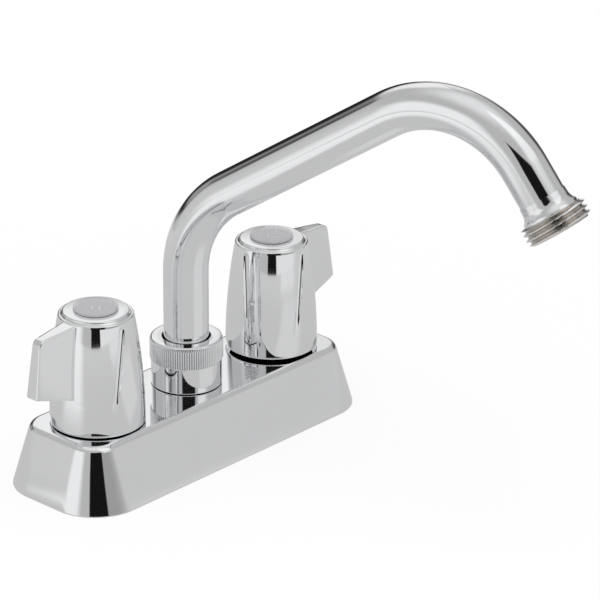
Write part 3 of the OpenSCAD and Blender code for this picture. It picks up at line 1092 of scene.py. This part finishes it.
@dataclass
class Spout:
    """The bent spout tube, swung a little from straight ahead."""

    tube_r: float = 9.2 * MM
    wall: float = 1.1 * MM
    foot: float = 26.5 * MM
    riser_top: float = 75 * MM
    riser_steps: int = 4
    first_r: float = 45 * MM
    first_steps: int = 26
    rise_degrees: float = 33.3
    run: float = 84.7 * MM
    run_steps: int = 6
    second_r: float = 43 * MM
    second_steps: int = 40
    dip_degrees: float = 54.0
    end_run: float = 17.5 * MM
    end_steps: int = 2
    swing_degrees: float = 12.0
    ring: int = 128
    sharp_degrees: float = 40.0

    def swing(self) -> Matrix:
        """Turn of the spout from straight ahead."""
        return Matrix.Rotation(math.radians(self.swing_degrees), 4, "Z")

    def heading(self, lean: float) -> Vector:
        """Direction of the tube before the swing, by its angle from upright in radians."""
        return Vector((0.0, -math.sin(lean), math.cos(lean)))

    def leans(self) -> Pair:
        """Angles from upright of the long run and of the end, in radians."""
        return math.radians(90.0 - self.rise_degrees), math.radians(90.0 + self.dip_degrees)

    def bends(self) -> tuple[Vector, Vector]:
        """Finds the middles of the two bends.

        Returns:
            The middle of the first bend and of the second, before the swing.
        """
        lean, _ = self.leans()
        first = Vector((0.0, -self.first_r, self.riser_top))
        second = first - self.first_r * self.heading(lean + QUARTER_TURN) + self.run * self.heading(lean)
        return first, second + self.second_r * self.heading(lean + QUARTER_TURN)

    def end(self) -> tuple[Vector, Vector]:
        """Where the tube ends.

        Returns:
            The middle of its end and its direction there, after the swing.
        """
        _, lean = self.leans()
        place = self.bends()[1] - self.second_r * self.heading(lean + QUARTER_TURN)
        place += self.end_run * self.heading(lean)
        return self.swing() @ place, self.swing().to_3x3() @ self.heading(lean)

    def build(self) -> bpy.types.Object:
        """Models the tube by drawing a circle along its runs and bends.

        Returns:
            The finished tube.
        """
        first, second = self.leans()
        low_bend, high_bend = self.bends()
        across = (1.0, 0.0, 0.0)
        Bench.clear()
        bpy.ops.mesh.primitive_circle_add(
            vertices=self.ring, radius=self.tube_r, location=(0.0, 0.0, self.foot)
        )
        tube = bpy.context.object
        tube.name = "spout_pipe"
        bpy.ops.object.transform_apply(location=True, rotation=False, scale=False)
        Bench.edit(tube)
        self._extend(self.heading(0.0), self.riser_top - self.foot, self.riser_steps)
        bpy.ops.mesh.spin(steps=self.first_steps, angle=-first, center=low_bend, axis=across)
        self._extend(self.heading(first), self.run, self.run_steps)
        bpy.ops.mesh.spin(steps=self.second_steps, angle=first - second, center=high_bend, axis=across)
        self._extend(self.heading(second), self.end_run, self.end_steps)
        bpy.ops.object.mode_set(mode="OBJECT")
        tube.data.transform(self.swing())
        Bench.tidy(tube, self.sharp_degrees)
        Bench.apply(tube, "SOLIDIFY", thickness=self.wall, offset=-1.0, use_even_offset=True)
        Bench.shade(tube, self.sharp_degrees)
        return tube

    def _extend(self, heading: Vector, length: float, steps: int) -> None:
        """Extrudes the selected ring along a straight run.

        Args:
            heading: direction of the run.
            length: its length.
            steps: how many steps it has.
        """
        for _ in range(steps):
            step = heading * (length / steps)
            bpy.ops.mesh.extrude_region_move(TRANSFORM_OT_translate={"value": step})


@dataclass
class HoseOutlet:
    """The flared collar and the hose thread on the end of the spout."""

    socket: float = 5 * MM
    socket_r: float = 9.25 * MM
    lip: float = 0.25 * MM
    collar_r: float = 11.2 * MM
    collar_length: float = 6.8 * MM
    flare_start: float = 2.2 * MM
    flare_bow: float = 5 * MM
    flare_foot: float = 0.35 * MM
    flare_end_degrees: float = 134.0
    flare_steps: int = 14
    thread_r: float = 13.35 * MM
    root_r: float = 11.75 * MM
    thread_length: float = 7.4 * MM
    thread_rows: int = 92
    thread_fade: float = 0.5 * MM
    thread_chamfer: float = 0.9 * MM
    pitch: float = 2.209 * MM
    crest_gain: float = 1.35
    crest_drop: float = 0.2
    bore_r: float = 8.2 * MM
    mouth_chamfer: float = 0.5 * MM
    stop: float = 0.05 * MM
    thread_lead: float = 0.15 * MM
    columns: int = 144
    sharp_degrees: float = 50.0

    def thread_span(self) -> Pair:
        """Where the thread starts and ends along the axis, from the tube's end."""
        start = self.collar_length - self.socket
        return start, start + self.thread_length

    def profile(self) -> list[Point]:
        """Radius and place along the axis of each row.

        Returns:
            The rows, from the collar by the thread and back through the bore.
        """
        foot = -self.socket
        start, end = self.thread_span()
        middle = (self.socket_r + self.flare_foot + self.flare_bow, foot + self.flare_start)
        flare = arc(middle, self.flare_bow, 180, self.flare_end_degrees, self.flare_steps)
        grooves = np.linspace(start + self.thread_lead, end - self.stop, self.thread_rows)
        return [
            (self.socket_r, foot),
            (self.socket_r + self.lip, foot),
            *flare,
            (self.collar_r, start),
            *((self.root_r, float(along)) for along in grooves),
            (self.bore_r + self.mouth_chamfer, end),
            (self.bore_r, end - self.mouth_chamfer),
            (self.bore_r, self.stop),
            (self.socket_r, self.stop),
            (self.socket_r, foot),
        ]

    def thread(self, along: float, turns: np.ndarray) -> np.ndarray:
        """Radius of the thread.

        Args:
            along: place along the axis.
            turns: share of a turn of each column.

        Returns:
            The radius at each column.
        """
        start, end = self.thread_span()
        place = (along - start) / self.pitch - turns
        tooth = 1.0 - np.abs((place % 1.0) - 0.5) * 2.0
        crest = np.clip(tooth * self.crest_gain - self.crest_drop, 0.0, 1.0)
        fade_in = np.clip((along - start) / self.thread_fade, 0.0, 1.0)
        chamfer = np.clip((end - along) / self.thread_chamfer, 0.0, 1.0)
        return self.root_r + (self.thread_r - self.root_r) * crest * fade_in * chamfer

    def build(self, spout: Spout) -> bpy.types.Object:
        """Models the outlet on the end of the tube.

        Args:
            spout: the tube that it sits on.

        Returns:
            The finished outlet.
        """
        turns = np.linspace(0.0, 1.0, self.columns + 1)
        start, end = self.thread_span()
        place, heading = spout.end()
        across = Vector(UPWARD).cross(heading).normalized()
        plane = np.array([across, heading.cross(across)])
        rows = []
        for radius, along in self.profile():
            threaded = start < along < end and radius == self.root_r
            radii = self.thread(along, turns) if threaded else radius
            centre = np.array(place) + along * np.array(heading)
            rows.append(centre + around(radii, math.tau * turns) @ plane)
        return Bench.wrap("hose_thread", np.array(rows), self.sharp_degrees)

    def finish(self, spout: Spout) -> GrooveFinish:
        """Chrome that is rougher between the threads, with painted brownish shade darkening the grooves.

        Args:
            spout: the tube that the outlet sits on.

        Returns:
            The finish.
        """
        place, heading = spout.end()
        return GrooveFinish(
            "threaded_chrome",
            CHROME.colour,
            metallic=1.0,
            roughness=0.08,
            start=tuple(place + heading * self.thread_span()[0]),
            axis=tuple(heading),
            length=self.thread_length,
            groove_r=self.root_r,
            crest_r=self.thread_r,
            # Painted shade: brownish grey in the thread grooves.
            groove_shade_colour=(0.52, 0.47, 0.41),
            groove_shade_share=0.75,
            groove_roughness=0.08,
        )


@dataclass
class SpoutNut:
    """The nut round the foot of the spout, with a plain skirt and a knurled band."""

    foot: float = 26.8 * MM
    skirt_r: float = 14.45 * MM
    soft: float = 0.35 * MM
    knurl_r: float = 14.95 * MM
    knurl_low: float = 37.7 * MM
    knurl_top: float = 45.8 * MM
    knurl_step: float = 0.05 * MM
    knurl_chamfer: float = 0.2 * MM
    knurl_full: float = 0.5 * MM
    knurl_foot: float = 0.8 * MM
    knurl_head: float = 0.3 * MM
    knurl_ease: float = 0.1 * MM
    low_share: float = 0.3
    high_share: float = 0.6
    top: float = 47.1 * MM
    edge: float = 1.3 * MM
    edge_trim: float = 0.2 * MM
    opening_r: float = 9.8 * MM
    lip: float = 0.5 * MM
    bore_r: float = 12.05 * MM
    ledge: float = 40.75 * MM
    band_rows: int = 6
    teeth: int = 96
    tooth_depth: float = 0.4 * MM
    tooth_gain: float = 1.7
    tooth_drop: float = 0.7
    columns_per_tooth: int = 8
    sharp_degrees: float = 50.0

    def profile(self) -> list[tuple[float, float, float]]:
        """Radius, height and share of the knurl of each row.

        Returns:
            The rows, from the foot by the outside and back through the bore.
        """
        low, high = self.foot + 1.3 * self.soft, self.knurl_low - 1.3 * self.soft
        outside = arc((self.skirt_r - self.soft, self.foot + self.soft), self.soft, -90, 0, 4)
        outside += [(self.skirt_r, float(z)) for z in np.linspace(low, high, self.band_rows)]
        outside += [(self.skirt_r, self.knurl_low - self.soft)]
        outside += [(self.skirt_r + self.knurl_step, self.knurl_low)]
        low, high = self.knurl_low + self.knurl_foot, self.knurl_top - self.knurl_head
        knurl = [
            (self.knurl_r - self.knurl_chamfer, self.knurl_low + self.knurl_step, self.low_share),
            (self.knurl_r, self.knurl_low + self.knurl_full, 1.0),
            *((self.knurl_r, float(z), 1.0) for z in np.linspace(low, high, self.band_rows)),
            (self.knurl_r - self.knurl_ease, self.knurl_top + self.knurl_ease, self.high_share),
        ]
        crown_r = self.edge - self.edge_trim
        inside = arc((self.knurl_r - self.edge, self.top - crown_r), crown_r, 30, 90, 6)
        inside += arc((self.opening_r + self.lip, self.top - self.lip), self.lip, 90, 180, 4)
        inside += [(self.opening_r, self.ledge), (self.bore_r, self.ledge)]
        inside += [(self.bore_r, self.foot), outside[0]]
        return [*((r, z, 0.0) for r, z in outside), *knurl, *((r, z, 0.0) for r, z in inside)]

    def build(self) -> bpy.types.Object:
        """Models the nut.

        Returns:
            The finished nut.
        """
        turns = np.linspace(0.0, 1.0, self.teeth * self.columns_per_tooth + 1)
        tooth = np.abs((turns * self.teeth) % 1.0 - 0.5) * 2.0
        cut = self.tooth_depth * np.clip(tooth * self.tooth_gain - self.tooth_drop, 0.0, 1.0)
        rows = []
        for radius, height, share in self.profile():
            ring = around(radius - share * cut, math.tau * turns)
            rows.append(np.column_stack([ring, np.full(len(turns), height)]))
        return Bench.wrap("knurled_nut", np.array(rows), self.sharp_degrees)

    def finish(self) -> GrooveFinish:
        """Chrome that is rougher between the teeth of the knurl, with painted shade darkening them.

        Returns:
            The finish.
        """
        return GrooveFinish(
            "knurled_chrome",
            CHROME.colour,
            metallic=1.0,
            roughness=0.06,
            start=(0.0, 0.0, self.knurl_low),
            length=self.knurl_top - self.knurl_low,
            groove_r=self.knurl_r - self.tooth_depth,
            crest_r=self.knurl_r - 0.3 * self.tooth_depth,
            # Painted shade: dark grey between the knurl's teeth.
            groove_shade_colour=(0.3, 0.3, 0.31),
            groove_shade_share=0.8,
            groove_roughness=0.25,
        )


@dataclass
class Button:
    """A clear button with a grey backing and a plain letter."""

    disc_top: float = 47.2 * MM
    gap: float = 0.05 * MM
    radius: float = 9 * MM
    rise: float = 1.4 * MM
    edge: float = 0.55 * MM
    edge_cut: float = 0.2 * MM
    dish: float = 0.35 * MM
    plug_r: float = 6.15 * MM
    plug_low: float = 44.45 * MM
    steps: int = 96
    backing_r: float = 8.5 * MM
    backing_low: float = 47.35 * MM
    backing_thickness: float = 0.15 * MM
    backing_steps: int = 64
    letter_height: float = 6.5 * MM
    letter_thickness: float = 0.12 * MM
    sharp_degrees: float = 40.0

    def clear_part(self, name: str) -> bpy.types.Object:
        """Turns the clear button.

        Args:
            name: the new piece's name.

        Returns:
            The finished button, with its rim at the handle's zero.
        """
        low = self.disc_top + self.gap
        top = self.disc_top + self.rise
        rim = arc((self.radius - self.edge, top - self.edge), self.edge, 0, 90, 6)
        inner = arc((self.radius - 2.2 * self.edge, top - self.dish + self.edge), self.edge, 300, 270, 4)
        profile = [
            (0.0, self.plug_low),
            (self.plug_r, self.plug_low),
            (self.plug_r, low),
            (self.radius - self.edge_cut, low),
            (self.radius, low + self.edge_cut),
            *rim,
            *inner,
            (0.0, top - self.dish),
        ]
        return Bench.lathe(name, profile, self.steps, self.sharp_degrees)

    def backing(self, name: str) -> bpy.types.Object:
        """Turns the grey backing that shows through the button.

        Args:
            name: the new piece's name.

        Returns:
            The finished backing.
        """
        low = self.backing_low
        top = low + self.backing_thickness
        profile = [(0.0, low), (self.backing_r, low), (self.backing_r, top), (0.0, top)]
        return Bench.lathe(name, profile, self.backing_steps, self.sharp_degrees)

    def letter(self, name: str, mark: str) -> bpy.types.Object:
        """Makes the plain letter on the backing.

        Args:
            name: the new piece's name.
            mark: the letter.

        Returns:
            The finished letter, lying level.
        """
        Bench.clear()
        bpy.ops.object.text_add(location=ORIGIN)
        text = bpy.context.object
        text.data.body = mark
        text.data.size = self.letter_height
        text.data.extrude = self.letter_thickness / 2
        text.data.align_x = "CENTER"
        text.data.align_y = "CENTER"
        bpy.ops.object.convert(target="MESH")
        piece = bpy.context.object
        piece.name = name
        middle = self.backing_low + self.backing_thickness + self.letter_thickness / 2
        piece.data.transform(Matrix.Translation((0.0, 0.0, middle)))
        Bench.tidy(piece, self.sharp_degrees)
        return piece


class Finisher:
    """Gives pieces their finishes and sets them on their bodies."""

    def __init__(self) -> None:
        """Starts with no materials."""
        self.materials: dict[str, bpy.types.Material] = {}

    def dress(self, piece: bpy.types.Object, finish: Finish) -> None:
        """Gives a piece one finish.

        Args:
            piece: the piece to dress.
            finish: the finish it gets.
        """
        if finish.name not in self.materials:
            self.materials[finish.name] = finish.material()
        piece.data.materials.clear()
        piece.data.materials.append(self.materials[finish.name])

    def dress_solids(self, frame: dict[str, Any]) -> None:
        """Gives every solid the finish of its slot.
        """
        slots = {row["node"]: row["material_slot"] for row in frame["record"]["subparts"]}
        for name, node in frame["nodes"].items():
            self.dress(node, SLOT_FINISHES[Slot(slots[name])])

    def add(self, piece: bpy.types.Object, finish: Finish, body: Body, slot: Slot, node: str = "") -> None:
        """Dresses a new piece, sets it on its body and lets it stand for a solid.

        Args:
            piece: the new piece.
            finish: its finish.
            body: the body that it rides on.
            slot: the record's slot for its material; not used.
            node: the solid that it replaces, if any.
        """
        self.dress(piece, finish)
        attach(piece, body.value)
        if node:
            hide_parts(node)
        LOG.info("%s rides on %s and replaces %s", piece.name, body.value, node or "nothing")


@dataclass
class ValveTop:
    """One handle with its button, set on its valve."""

    side: str
    body: Body
    x: float
    turn_degrees: float
    rim: float
    mark: str
    mark_degrees: float = -46.8

    def place(self, piece: bpy.types.Object, turn_degrees: float) -> None:
        """Moves a piece from the handle's own zero to its valve.

        Args:
            piece: the piece to move.
            turn_degrees: how far it is turned.
        """
        turn = Matrix.Rotation(math.radians(turn_degrees), 4, "Z")
        piece.data.transform(Matrix.Translation((self.x, 0.0, self.rim)) @ turn)
        piece.data.update()

    def build(self, finisher: Finisher) -> None:
        """Models and dresses the handle and its button.

        Args:
            finisher: dresses the pieces and sets them on the valve.
        """
        button = Button()
        handle = Handle().build(f"{self.side}_blade_handle")
        cap = button.clear_part(f"{self.side}_clear_button")
        backing = button.backing(f"{self.side}_button_backing")
        letter = button.letter(f"{self.side}_button_mark", self.mark)
        for piece, turn, finish, slot, node in (
            (handle, self.turn_degrees, CHROME, Slot.CHROME, f"{self.side}_handle"),
            (cap, 0.0, CLEAR, Slot.CLEAR, f"{self.side}_button"),
            (backing, 0.0, INSERT, Slot.CLEAR, ""),
            (letter, self.mark_degrees, MARK, Slot.CLEAR, ""),
        ):
            self.place(piece, turn)
            finisher.add(piece, finish, self.body, slot, node)


@dataclass(frozen=True)
class Patch:
    """A patch of the surround, or a painted light patch on the table, that mirrors show lighter or darker.

    Its first edges are angles from the camera, in degrees. Its second edges are heights in degrees,
    or distances on the table in metres.
    """

    share: float
    side: Edges
    reach: Edges

    def shape(self, side: Value, reach: Value) -> Value:
        """How much of the patch there is."""
        return self.share * side.within(self.side) * reach.within(self.reach)


@dataclass
class Studio:
    """The table, the white surround, the lamp and the camera."""

    table_r: float = 0.56
    table_sides: int = 96
    table_colour: Colour = (0.9, 0.9, 0.9)
    # How bright mirrors see the table: a painted glow, brighter further out.
    table_level: float = 0.58
    table_rise: float = 0.05
    table_rise_span: Edges = (0.1, 0.45)
    table_paint: float = 0.2
    table_paint_span: Edges = (0.336, 0.1)
    # Painted light patches on the table, seen only in mirrors.
    table_left: Patch = Patch(0.28, (-74, -62, -42, -28), (0.1, 0.2))
    table_far_right: Patch = Patch(0.14, (26, 36, 62, 80), (0.2, 0.4))
    table_near_right: Patch = Patch(0.1, (34, 46, 82, 96), (0.06, 0.085, 0.2, 0.3))
    wall_level: float = 0.5
    ceiling_rise: float = 0.3
    ceiling_span: Edges = (42, 80)
    side_walls: Patch = Patch(0.1, (64, 80, 104, 122), (-25, -15, 12, 26))
    high_right: Patch = Patch(0.4, (20, 48, 84, 96), (27, 38, 66, 88))
    low_left: Patch = Patch(0.4, (-88, -66, -46, -30), (-20, -6, 16, 34))
    right_strip: Patch = Patch(0.36, (34, 42, 58, 76), (11, 16, 25, 31))
    low_strip: Patch = Patch(0.3, (13, 15, 60, 84), (-12, -9, -2, 1))
    back_left: Patch = Patch(0.42, (-136, -156), (16, 25, 42, 58))
    back_right: Patch = Patch(0.3, (160, 173), (-16, -10, 34, 50))
    right_dim: Patch = Patch(0.3, (28, 32, 48, 84), (-1, 2, 9, 15))
    left_gap: Patch = Patch(0.94, (-116, -125), (-14, -6, 13, 24))
    left_gap_slant: float = 0.28
    left_gap_level_at: float = -150.0
    left_gap_light: Patch = Patch(0.6, (-150, -141, -127, -118), (-2, 4, 14, 22))
    right_gap: Patch = Patch(0.85, (124, 142, 155, 167), (-13, -6, 14, 29))
    far_gap: Patch = Patch(0.85, (150, 168), (0, 3, 10, 17))
    lens_gap: Patch = Patch(0.985, (-15, -12, 27, 31), (0, 2, 29, 32))
    stand_gap: Patch = Patch(0.985, (-12, -10.5, 12.5, 14), (-14, -12, 1, 3))
    plain_level: float = 0.75
    lamp_power: float = 6.0
    lamp_size: float = 0.9
    lamp_place: Place = (-0.25, -0.2, 1.1)
    camera_place: Place = (-0.89829, -0.87287, 0.59630)
    camera_back: Place = (-0.67026, -0.62910, 0.39368)
    sensor: float = 36.0
    lens: float = 202.53
    shift: Pair = (0.1003, 0.0089)
    clip: Pair = (0.01, 50.0)

    def facing(self, x: Value, y: Value) -> Value:
        """Angle of a level direction, zero towards the camera and growing to its right.

        Args:
            x: the direction's part along X.
            y: the direction's part along Y.

        Returns:
            The angle in degrees.
        """
        back = Vector(self.camera_back[:2]).normalized()
        ahead = x * back.x + y * back.y
        aside = y * back.x - x * back.y
        return aside.angle_to(ahead) * DEGREES_PER_RADIAN

    def table(self) -> None:
        """Makes the pale table that the faucet stands on: the camera sees it evenly white with its real
        shadow, and mirrors see a painted glow, brighter further out and in painted light patches.
        """
        Bench.clear()
        bpy.ops.mesh.primitive_circle_add(vertices=self.table_sides, radius=self.table_r, fill_type="NGON")
        table = bpy.context.object
        table.name = "table"
        made, nodes = new_material("table_white")
        x, y, _ = nodes.split(nodes.place())
        away = nodes.vector(VectorOperation.LENGTH, [nodes.place()], "Value")
        camera, mirror = nodes.rays()
        side = self.facing(x, y)
        # Painted light: mirrors see the table as a glow, brighter further out and in lighter patches.
        seen = self.table_level + self.table_rise * away.within(self.table_rise_span)
        for patch in (self.table_left, self.table_far_right, self.table_near_right):
            seen = seen + patch.shape(side, away)
        level = camera + mirror * seen
        glow = nodes.value("ShaderNodeEmission", {}, {"Color": nodes.mix(level.smaller(1.0), BLACK, WHITE)})
        paint = nodes.value("ShaderNodeBsdfDiffuse", {}, {"Color": (*self.table_colour, 1.0)})
        painted = self.table_paint * away.within(self.table_paint_span) * camera
        share = (camera + mirror).smaller(1.0) * (1.0 - painted)
        mixed = nodes.value("ShaderNodeMixShader", {}, {0: share, 1: paint, 2: glow})
        nodes.node("ShaderNodeOutputMaterial", {}, {"Surface": mixed})
        table.data.materials.append(made)

    def panels(self, side: Value, height: Value) -> Value:
        """Brightness of the surround as mirrors show it, with its lit panels and its dark gaps.

        Args:
            side: level angle from the camera, in degrees.
            height: angle above the level, in degrees.

        Returns:
            The brightness, from 0 to 1.
        """
        level = self.wall_level + self.ceiling_rise * height.within(self.ceiling_span)
        level = level + self.side_walls.shape(side.size(), height)
        lit = (self.high_right, self.low_left, self.right_strip, self.low_strip)
        for patch in (*lit, self.back_left, self.back_right):
            level = level + patch.shape(side, height)
        level = level * (1.0 - self.right_dim.shape(side, height))
        slanted = height - self.left_gap_slant * (side - self.left_gap_level_at)
        left = self.left_gap.shape(side, slanted) * (1.0 - self.left_gap_light.shape(side, height))
        middle = self.lens_gap.shape(side, height).larger(self.stand_gap.shape(side, height))
        right = self.right_gap.shape(side, height)
        for gap in (left, right, self.far_gap.shape(side.size(), height), middle):
            level = level * (1.0 - gap)
        return level

    def surround(self) -> None:
        """Sets the white surround, whose panels and dark gaps only mirrors show."""
        world = bpy.data.worlds.new("studio")
        bpy.context.scene.world = world
        world.use_nodes = True
        nodes = Nodes(world.node_tree)
        x, y, z = nodes.split(nodes.value("ShaderNodeTexCoord", {}, {}, "Generated"))
        level = self.panels(self.facing(x, y), z.arcsine() * DEGREES_PER_RADIAN)
        camera, mirror = nodes.rays()
        mirror = mirror * (1.0 - camera)
        plain = (1.0 - camera) * (1.0 - mirror)
        shade = nodes.mix(camera + mirror * level + plain * self.plain_level, BLACK, WHITE)
        sky = nodes.value("ShaderNodeBackground", {}, {"Color": shade})
        nodes.node("ShaderNodeOutputWorld", {}, {"Surface": sky})

    def stand(self, name: str, data: bpy.types.ID, place: Place, back: Place) -> bpy.types.Object:
        """Stands a lamp or a camera in the studio.

        Args:
            name: the new object's name.
            data: the lamp or camera.
            place: where it stands.
            back: the direction that its back faces.

        Returns:
            The new object.
        """
        made = bpy.data.objects.new(name, data)
        made.location = place
        made.rotation_mode = "QUATERNION"
        made.rotation_quaternion = Vector(back).to_track_quat("Z", "Y")
        bpy.context.scene.collection.objects.link(made)
        return made

    def lamp(self) -> None:
        """Hangs one soft lamp over the table, out of the mirrors' sight."""
        data = bpy.data.lights.new("overhead", "AREA")
        data.energy = self.lamp_power
        data.size = self.lamp_size
        lamp = self.stand("overhead", data, self.lamp_place, self.lamp_place)
        lamp.visible_glossy = False

    def camera(self) -> None:
        """Sets the camera where the photograph was taken from."""
        data = bpy.data.cameras.new("camera")
        data.sensor_width = self.sensor
        data.lens = self.lens
        data.shift_x, data.shift_y = self.shift
        data.clip_start, data.clip_end = self.clip
        bpy.context.scene.camera = self.stand("camera", data, self.camera_place, self.camera_back)

    def build(self) -> None:
        """Builds the whole studio."""
        self.table()
        self.surround()
        self.lamp()
        self.camera()
        bpy.context.scene.view_settings.view_transform = "Standard"


def main() -> None:
    """Builds the faucet and its studio."""
    logging.basicConfig(level=logging.INFO, format="%(name)s: %(message)s")
    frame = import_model()
    finisher = Finisher()
    finisher.dress_solids(frame)

    cover, nut, spout, outlet = Cover(), SpoutNut(), Spout(), HoseOutlet()
    finisher.add(cover.build(), CHROME, Body.BASE, Slot.CHROME, "base_cover")
    finisher.add(nut.build(), nut.finish(), Body.BASE, Slot.CHROME, "spout_nut")
    finisher.add(spout.build(), CHROME, Body.SPOUT, Slot.CHROME, "spout_tube")
    finisher.add(outlet.build(spout), outlet.finish(spout), Body.SPOUT, Slot.CHROME, "hose_outlet")
    hot_rim, cold_rim = cover.height + HOT_RIM_GAP, cover.height + COLD_RIM_GAP
    ValveTop("hot", Body.HOT, -cover.valve_x, 180.0, hot_rim, "H").build(finisher)
    ValveTop("cold", Body.COLD, cover.valve_x, 0.0, cold_rim, "C").build(finisher)

    Studio().build()


if __name__ == "__main__":
    main()
